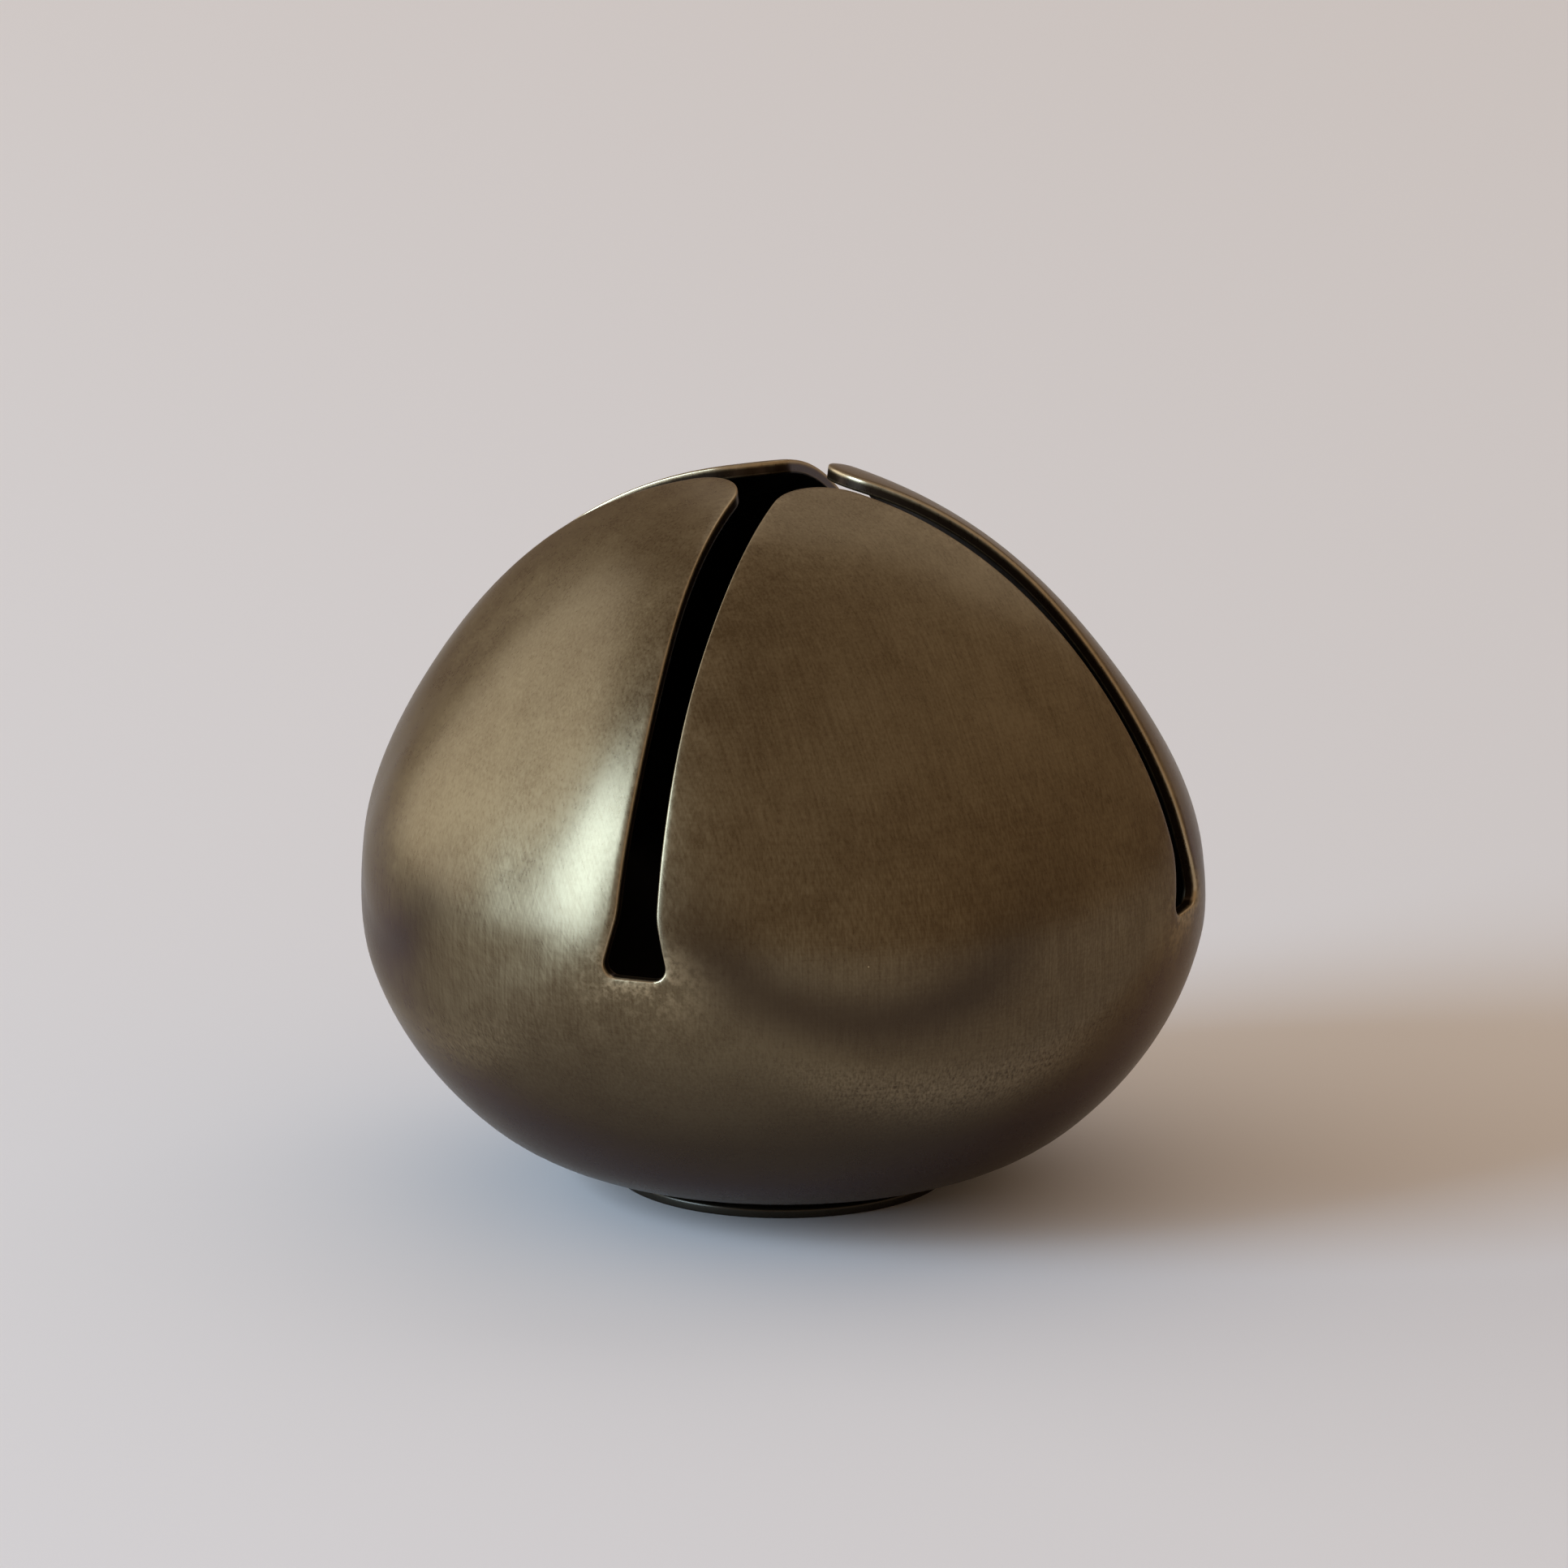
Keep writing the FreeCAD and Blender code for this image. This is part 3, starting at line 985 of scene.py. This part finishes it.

# %% [markdown]
# ## Dark aged brass
#
# The bell is brass under a brown film, warm and dark. One flat colour with a gloss would look
# like plastic: real aged brass changes in broad patches, in fine mottle and along the rubbed
# lines. The film is thick on the cut faces. Painted shade darkens the bowl towards the floor,
# the fold's hollow and the inside skin, and a painted highlight lies along the fold's ridge.
# The colour is built in layers, and each layer is one line of a list, so that their order,
# which decides what covers what, can be read at a glance.

# %% Layer the brass
BROAD = (0.045, 0.045, 0.06)
BROAD_SWING, MOTTLE_SWING, GRAIN_SWING = 2.0, 0.9, 2.2
# painted shade: the bowl is coloured darker towards the floor
UNDERSIDE_FROM, UNDERSIDE_SOFT, UNDERSIDE_SHADE = 22.0, 13.0, 0.88
# painted highlight on the fold's ridge and painted shade in its hollow
RIDGE_HIGHLIGHT, RIDGE_GRAIN, HOLLOW_SHADE = 0.15, 0.9, 0.8
CUT_FROM, CUT_SOFT = 0.10, 0.15
SPECK_SPACING, SPECK_RADIUS = 4.0, 0.06
# painted shade: the inside skin of the bell is coloured almost black
INSIDE_PAINTED_SHADE = (0.010, 0.008, 0.006)


def brass_layers(tree, mottle, fine, grain, colours):
    """The brass from the base film through painted shade and highlight to the rubbed edges, one
    layer over another.
    """
    brown, olive, bright_brass, dark = colours
    rim, inside, fold = [stored(tree, mark) for mark in ("rim_distance", "inside", "fold")]
    broad = cloud(tree, BROAD)
    share = clipped(0.5 + swing(broad, BROAD_SWING) + swing(mottle, MOTTLE_SWING)
                    + swing(grain, GRAIN_SWING))
    # painted shade: the bowl darkens towards the floor
    low_down = clipped((UNDERSIDE_FROM - height_in_mm(tree)) / UNDERSIDE_SOFT)
    # painted highlight along the fold's ridge, in the bright brass colour
    ridge = clipped(larger(fold, 0.0) * (RIDGE_HIGHLIGHT + swing(grain, RIDGE_GRAIN)))
    # painted shade in the fold's hollow, in the dark colour
    hollow = clipped(larger(-fold, 0.0) * HOLLOW_SHADE)
    cut = clipped(-(rim + CUT_FROM) / CUT_SOFT) * (1.0 - inside)
    # Painted shade: the underside, the fold's hollow and the inside skin. Painted highlight: the
    # fold's ridge. The other layers are wear, specks and the film on the cut faces.
    layers = ((clipped(low_down * UNDERSIDE_SHADE), dark), (ridge, bright_brass), (hollow, dark),
              (rubbed_bare(tree, rim, mottle, fine), bright_brass), (edge_line(rim, fine), bright_brass),
              (specks(tree, SPECK_SPACING, SPECK_RADIUS), bright_brass), (clipped(cut), dark),
              (inside, INSIDE_PAINTED_SHADE))
    colour = tint(tree, share, brown, olive)
    for amount, layer in layers:
        colour = tint(tree, amount, colour, layer)
    return colour, inside


# the film that this prints is painted shade, darker towards the floor
print("sheet with no film above", UNDERSIDE_FROM, "mm, full film below",
      UNDERSIDE_FROM - UNDERSIDE_SOFT, "mm")

# %% [markdown]
# ## Satin shine
#
# The film leaves the brass satin, not glossy: lamps show in it as soft patches that follow
# the rubbed lines. The lines change the roughness a little and raise a relief too fine for
# the mesh. A thin clear coat stands for the wax on top and whitens the brightest patch. The
# foot is the same brass, painted darker as shade under the bell, so one function makes both
# finishes.

# %% Mix the aged brass
MOTTLE, MOTTLE_DETAIL, FINE, FINE_DETAIL = (0.35,) * 3, 4.0, (2.5,) * 3, 3.0
FINE_ROUGHNESS = 0.6
SATIN, SATIN_GRAIN, SATIN_MOTTLE, DULLER_INSIDE = 0.30, 0.20, 0.10, 0.3
BRASS_SHADER = {"Metallic": 0.8, "IOR": 1.5, "Specular Tint": (0.40, 0.33, 0.26, 1),
                "Coat Weight": 0.28, "Coat Roughness": 0.26}
GRAIN_STRENGTH, GRAIN_HEIGHT = 0.25, 0.02


def aged_brass(name, *colours):
    """Brass under a brown film that is thin where hands have rubbed it."""
    finish, tree, shader = finish_tree(name)
    mottle = cloud(tree, MOTTLE, MOTTLE_DETAIL, FINE_ROUGHNESS)
    fine = cloud(tree, FINE, FINE_DETAIL, FINE_ROUGHNESS)
    grain = rubbed_grain(tree)
    colour, inside = brass_layers(tree, mottle, fine, grain, colours)
    tree.links.new(colour, shader.inputs["Base Color"])
    for socket, value in BRASS_SHADER.items():
        shader.inputs[socket].default_value = value
    shine = clipped(SATIN + swing(grain, SATIN_GRAIN) + swing(mottle, SATIN_MOTTLE)
                    + inside * DULLER_INSIDE)
    tree.links.new(shine.socket, shader.inputs["Roughness"])
    raise_surface(tree, shader, grain, GRAIN_STRENGTH, GRAIN_HEIGHT)
    print(name, "has", len(tree.nodes), "nodes")
    return finish


bell_finish = aged_brass("aged_brass", (0.098, 0.064, 0.028), (0.180, 0.133, 0.069),
                         (0.50, 0.38, 0.22), (0.036, 0.020, 0.009))
# painted shade: the foot's colours are darker because it sits in the bell's shadow
shaded_foot_finish = aged_brass("foot_brass", (0.045, 0.032, 0.015), (0.075, 0.055, 0.025),
                         (0.24, 0.19, 0.11), (0.03, 0.024, 0.016))

# %% [markdown]
# ## The hidden pieces' metal
#
# The rivet, the washer and the ball are hardly seen, and no hand ever rubs them. Turned brass
# and tumbled steel differ only in colour and shine, so one function makes both: soft patches,
# fine marks from the tumbling barrel and a little relief.

# %% Mix the plain metals
PATCHES, MARKS = (0.3,) * 3, (3.0, 0.4, 3.0)
TUMBLED, TUMBLED_DETAIL, TUMBLED_ROUGHNESS = (2.0,) * 3, 4.0, 0.65
PATCH_SWING, MARK_SWING = 1.6, 0.8
SHINE_SWING, SHINE_MARKS = 0.3, 0.2
MARK_STRENGTH, MARK_HEIGHT = 0.3, 0.03


def plain_metal(name, first, second, roughness):
    """Metal of the hidden pieces: soft patches, fine tumbling marks and a little relief."""
    finish, tree, shader = finish_tree(name)
    patches = cloud(tree, PATCHES)
    fine = cloud(tree, TUMBLED, TUMBLED_DETAIL, TUMBLED_ROUGHNESS)
    marks = hatch(tree, MARKS, SLANT)
    share = clipped(0.5 + swing(patches, PATCH_SWING) + swing(marks, MARK_SWING))
    tree.links.new(tint(tree, share, first, second), shader.inputs["Base Color"])
    shader.inputs["Metallic"].default_value = 1.0
    shine = clipped(roughness + swing(fine, SHINE_SWING) + swing(marks, SHINE_MARKS))
    tree.links.new(shine.socket, shader.inputs["Roughness"])
    raise_surface(tree, shader, fine * 0.5 + marks * 0.5, MARK_STRENGTH, MARK_HEIGHT)
    print(name, "has", len(tree.nodes), "nodes")
    return finish


rivet_finish = plain_metal("rivet_brass", (0.36, 0.25, 0.10), (0.46, 0.34, 0.16), 0.38)
pellet_finish = plain_metal("pellet_steel", (0.36, 0.36, 0.37), (0.50, 0.50, 0.51), 0.34)

# %% [markdown]
# ## Press the bell
#
# The blank goes into the press: the node tree is a modifier on the blank's object. Its inputs
# are set by the identifiers behind their names, because two inputs may share a name. Then
# the result is turned into a plain mesh and the modifier removed, since the export of the
# finished object can't follow a live tree.

# %% Press the bell
def set_input(modifier, name, value):
    """Set a modifier's input by the identifier that stands behind its name."""
    for item in modifier.node_group.interface.items_tree:
        if item.item_type == "SOCKET" and item.in_out == "INPUT" and item.name == name:
            modifier[item.identifier] = value


def made_real(piece):
    """Turn what the piece's node tree makes into its plain mesh."""
    ready = piece.evaluated_get(bpy.context.evaluated_depsgraph_get())
    mesh = bpy.data.meshes.new_from_object(ready)
    piece.modifiers.clear()
    piece.data = mesh


bell = bpy.data.objects.new("bell", blank)
bpy.context.scene.collection.objects.link(bell)
press = bell.modifiers.new("press", "NODES")
press.node_group = pressing
set_input(press, "Finish", bell_finish)
made_real(bell)
print("bell:", len(bell.data.vertices), "points,", len(bell.data.polygons), "faces")

# %% [markdown]
# ## How the turned pieces are made
#
# Foot, rivet, washer and ball are round about the axis, and each is drawn as an outline.
# Ready-made cylinders would have sharp corners, and a sharp corner catches no light. So every
# corner of an outline comes with a size, and is replaced by a short curve of that size.

# %% Round an outline's corners
CORNER_STEPS = 5


def rounded(outline):
    """Round the corners of a closed outline of (radius, level, corner) points."""
    line = []
    count = len(outline)
    for place, (radius, level, corner) in enumerate(outline):
        here = Vector((radius, level))
        before = Vector(outline[place - 1][:2])
        after = Vector(outline[(place + 1) % count][:2])
        if corner == 0:
            line.append(here)
            continue
        first = here + (before - here).normalized() * corner
        last = here + (after - here).normalized() * corner
        for step in range(CORNER_STEPS + 1):
            share = step / CORNER_STEPS
            line.append(first.lerp(here, share).lerp(here.lerp(last, share), share))
    return line


print("points of a square with round corners:",
      len(rounded([(1, 0, 0.1), (2, 0, 0.1), (2, 1, 0.1), (1, 1, 0.1)])))

# %% [markdown]
# ## Spinning an outline
#
# An outline becomes a piece when it is spun once round the axis, as on a lathe. Blender's Spin
# tool does this too, but needs an edit mode. Points that meet on the axis are welded and all
# faces are turned outwards, or the piece would have open poles and dark patches. The count of
# open edges is printed, and nought means that the piece is closed.

# %% Spin an outline
AXIS_WELD = 0.0005


def spun(name, line, closed, finish, steps):
    """Piece made of an outline that turns once round the axis."""
    turns = np.linspace(0, 4 * QUARTER, steps, endpoint=False)
    points = [(place.x * math.cos(turn) * MM, place.x * math.sin(turn) * MM, place.y * MM)
              for turn in turns for place in line]
    wide = len(line)
    faces = []
    for step in range(steps):
        after = (step + 1) % steps
        for place in range(wide if closed else wide - 1):
            nearby = (place + 1) % wide
            faces.append((step * wide + place, after * wide + place,
                          after * wide + nearby, step * wide + nearby))
    mesh = bpy.data.meshes.new(name)
    mesh.from_pydata(points, [], faces)
    far = np.full(len(points), FAR_FROM_RIM)
    mesh.attributes.new("rim_distance", "FLOAT", "POINT").data.foreach_set("value", far)
    shape = bmesh.new()
    shape.from_mesh(mesh)
    bmesh.ops.remove_doubles(shape, verts=shape.verts, dist=AXIS_WELD * MM)
    bmesh.ops.recalc_face_normals(shape, faces=shape.faces)
    open_edges = sum(not edge.is_manifold for edge in shape.edges)
    shape.to_mesh(mesh)
    shape.free()
    mesh.shade_smooth()
    mesh.materials.append(finish)
    piece = bpy.data.objects.new(name, mesh)
    bpy.context.scene.collection.objects.link(piece)
    print(name + ":", len(mesh.polygons), "faces,", open_edges, "open edges")
    return piece


print("points nearer than", AXIS_WELD, "mm are welded")

# %% [markdown]
# ## The foot
#
# Only the foot's rim shows, as a dark line under the bell. It is a thin disc that is dished
# upwards, so that it stands on its rim alone and leaves room for the rivet's closed end.
# Stamped sheet has soft bends and slightly rounded edges, which the outline's corners give.

# %% Spin the foot
FOOT_RADIUS, FOOT_RING, FOOT_SHEET = 11.8, 0.7, 0.7
DISH_RADIUS, DISH_LEVEL, DISH_TOP = 7.5, 0.9, 1.6
FOOT_STEPS = 192

foot_outline = [(HOLE_RADIUS, DISH_LEVEL, 0.05), (DISH_RADIUS, DISH_LEVEL, 0.4),
                (FOOT_RADIUS - FOOT_RING, 0.0, 0.1), (FOOT_RADIUS, 0.0, 0.15),
                (FOOT_RADIUS, FOOT_SHEET, 0.2), (DISH_RADIUS, DISH_TOP, 0.4),
                (HOLE_RADIUS, DISH_TOP, 0.05)]
foot = spun("foot", rounded(foot_outline), True, shaded_foot_finish, FOOT_STEPS)

# %% [markdown]
# ## The rivet
#
# The rivet goes through the foot, the bell's floor and the washer. Its head is a low dome
# inside the bell, its closed end a flat disc in the foot's dish. The dome is part of a circle
# that is found from the head's radius and height, so it meets the rim of the head exactly.

# %% Spin the rivet
WASHER_TOP = 3.4
HEAD_RADIUS, HEAD_HEIGHT, DOME_STEPS = 4.0, 2.0, 16
SHANK_RADIUS, END_RADIUS, END_LEVEL = 2.0, 3.6, 0.3
RIVET_STEPS = 96

dome_radius = (HEAD_RADIUS ** 2 + HEAD_HEIGHT ** 2) / (2 * HEAD_HEIGHT)
dome_reach = math.asin(HEAD_RADIUS / dome_radius)
dome = [(dome_radius * math.sin(dome_reach * step / DOME_STEPS),
         WASHER_TOP + HEAD_HEIGHT - dome_radius
         + dome_radius * math.cos(dome_reach * step / DOME_STEPS), 0)
        for step in range(DOME_STEPS - 1, 0, -1)]
rivet_outline = [(0, END_LEVEL, 0), (END_RADIUS, END_LEVEL, 0.15), (END_RADIUS, DISH_LEVEL, 0.15),
                 (SHANK_RADIUS, DISH_LEVEL, 0), (SHANK_RADIUS, WASHER_TOP, 0),
                 (HEAD_RADIUS, WASHER_TOP, 0.12), *dome, (0, WASHER_TOP + HEAD_HEIGHT, 0)]
rivet = spun("rivet", rounded(rivet_outline), False, rivet_finish, RIVET_STEPS)

# %% [markdown]
# ## The washer
#
# The washer spreads the pull of the rivet's head over the thin floor. It is a flat ring with
# lightly rounded corners, the upper outer one rounder than the rest, as a punch leaves it.

# %% Spin the washer
FLOOR_INSIDE = 2.6
WASHER_RADIUS, WASHER_STEPS = 5.5, 128

washer_outline = [(HOLE_RADIUS, FLOOR_INSIDE, 0.05), (WASHER_RADIUS, FLOOR_INSIDE, 0.1),
                  (WASHER_RADIUS, WASHER_TOP, 0.2), (HOLE_RADIUS, WASHER_TOP, 0.05)]
washer = spun("washer", rounded(washer_outline), True, rivet_finish, WASHER_STEPS)

# %% [markdown]
# ## The ball
#
# The loose ball makes the bell ring. It is drawn as a half circle, spun round the axis and
# then moved in its mesh to the place that the measured solid gives. Its object stays at the
# origin, as every finished piece's does, because there its own coordinates hold the finish.

# %% Spin the ball
BALL_RINGS, BALL_STEPS = 48, 96

low, high = [Vector(corner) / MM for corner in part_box("pellet")]
ball_centre, ball_radius = (low + high) / 2, (high.z - low.z) / 2
ball_line = [Vector((ball_radius * math.cos(tilt), ball_radius * math.sin(tilt)))
             for tilt in np.linspace(-QUARTER, QUARTER, BALL_RINGS + 1)]
ball = spun("ball", ball_line, False, pellet_finish, BALL_STEPS)
ball.data.transform(Matrix.Translation(ball_centre * MM))
print("ball radius in mm:", round(ball_radius, 2))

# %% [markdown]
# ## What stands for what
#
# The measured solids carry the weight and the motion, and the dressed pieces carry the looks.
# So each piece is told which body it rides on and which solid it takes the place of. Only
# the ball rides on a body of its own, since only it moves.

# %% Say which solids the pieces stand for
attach(bell, "holder")
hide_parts("bell_shell")
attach(foot, "holder")
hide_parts("foot_plate")
for piece, node in ((rivet, "foot_rivet"), (washer, "rivet_washer")):
    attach(piece, "holder")
    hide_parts(node)
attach(ball, "pellet")
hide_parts("pellet")
print("dressed pieces:", [piece.name for piece in (bell, foot, rivet, washer, ball)])

# %% [markdown]
# ## Floor and room
#
# A plain pale floor shows the object's shadow and is mirrored in its lower half. The room
# around it is one even warm grey. A picture of a real room would give livelier mirroring, but
# it would also put things into the brass that nobody could remove again.

# %% Lay the floor and light the room
FLOOR_HALF = 4
FLOOR_COLOUR, FLOOR_ROUGHNESS = (0.82, 0.765, 0.715, 1), 0.9
ROOM_COLOUR = (0.41, 0.31, 0.225, 1)

floor_mesh = bpy.data.meshes.new("floor")
floor_corners = [(x * FLOOR_HALF, y * FLOOR_HALF, 0)
                 for x, y in ((-1, -1), (1, -1), (1, 1), (-1, 1))]
floor_mesh.from_pydata(floor_corners, [], [(0, 1, 2, 3)])
floor = bpy.data.objects.new("floor", floor_mesh)
bpy.context.scene.collection.objects.link(floor)
floor_finish, _, floor_shader = finish_tree("pale_floor")
floor_shader.inputs["Base Color"].default_value = FLOOR_COLOUR
floor_shader.inputs["Roughness"].default_value = FLOOR_ROUGHNESS
floor_mesh.materials.append(floor_finish)

world = bpy.data.worlds.new("room")
world.use_nodes = True
world.node_tree.nodes["Background"].inputs["Color"].default_value = ROOM_COLOUR
bpy.context.scene.world = world
bpy.context.scene.view_settings.view_transform = "Standard"
print("floor width in m:", 2 * FLOOR_HALF)

# %% [markdown]
# ## Lamps
#
# Satin metal shows its lamps as soft shapes, so the lamps' sizes and places matter more than
# their strength. A tall cool one on the left makes the long bright patch beside the front
# slot. A wide one further round lifts the left side, and a weak one above and behind keeps
# the tips from going black. Each is given by its turn from the front and by how bright its
# face is, since that is what the metal mirrors.

# %% Set the lamps
LOOK_AT = Vector((0, 0, 0.02))


def soft_lamp(name, turn, away, level, size, radiance, colour):
    """Soft rectangular lamp. The turn counts from the front, clockwise seen from above."""
    lamp = bpy.data.lights.new(name, "AREA")
    lamp.shape = "RECTANGLE"
    lamp.size, lamp.size_y = size
    lamp.energy = radiance * math.pi * size[0] * size[1]
    lamp.color = colour
    stand = bpy.data.objects.new(name, lamp)
    angle = math.radians(turn)
    stand.location = (-away * math.sin(angle), -away * math.cos(angle), level)
    stand.rotation_mode = "QUATERNION"
    stand.rotation_quaternion = (LOOK_AT - stand.location).to_track_quat("-Z", "Y")
    bpy.context.scene.collection.objects.link(stand)
    print(name, "gives", round(lamp.energy, 1), "watts")


soft_lamp("tall_window", 47, 1.3, 0.45, (0.66, 0.95), 14.0, (0.48, 0.71, 1.0))
soft_lamp("side_window", 95, 1.6, 0.56, (1.5, 1.1), 1.8, (0.86, 0.94, 1.0))
soft_lamp("ceiling", 180, 1.35, 1.45, (2.4, 1.3), 0.6, (0.84, 0.90, 1.0))
